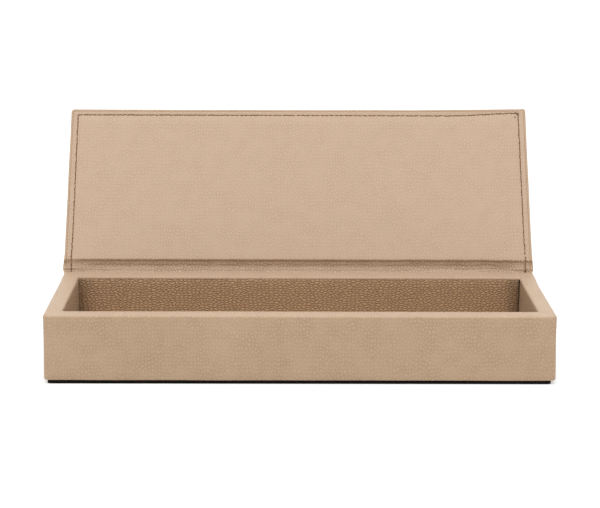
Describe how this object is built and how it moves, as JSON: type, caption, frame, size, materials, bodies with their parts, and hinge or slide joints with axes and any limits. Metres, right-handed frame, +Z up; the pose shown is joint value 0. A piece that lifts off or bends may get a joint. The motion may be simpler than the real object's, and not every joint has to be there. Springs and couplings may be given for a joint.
{
  "type": "pen box",
  "caption": "Shallow leather-wrapped tray for pens with a stitched flat lid on a full-width leather hinge, shown open.",
  "frame": {"origin": "centre of the underside of the felt pad, on the surface the box stands on", "axes": "+X along the width to the right as seen from the front, front towards -Y, +Z up; the lid stands open at the back"},
  "size_m": [0.271, 0.1523, 0.1237],
  "materials": {
    "tan_leather": "pebbled, satin",
    "lining_leather": "fine pebbled, satin",
    "board": "raw fibreboard",
    "black_felt": "pressed felt",
    "thread": "waxed thread"
  },
  "bodies": {
    "tray": {"front_board": "board", "rear_board": "board", "left_board": "board", "right_board": "board", "bottom_board": "board", "base_infill_card": "board", "tray_wrap": "tan_leather", "base_pad": "black_felt", "floor_lining": "lining_leather", "front_wall_lining": "lining_leather", "rear_wall_lining": "lining_leather", "left_wall_lining": "lining_leather", "right_wall_lining": "lining_leather", "flap_lining_tail": "lining_leather", "flap_cover_tail": "tan_leather", "hinge_lining": "lining_leather", "hinge_cover": "tan_leather"},
    "lid": {"lid_board": "board", "lid_cover": "tan_leather", "lid_lining": "lining_leather", "lid_stitching": "thread"}
  },
  "joints": [
    {"name": "lid_hinge", "type": "hinge", "parent": "tray", "child": "lid", "pos_m": [0, 0.05031, 0.04039], "axis": [1, 0, 0], "range_deg": [-57.5, 122.5], "deforming": ["hinge_lining", "hinge_cover"]}
  ]
}
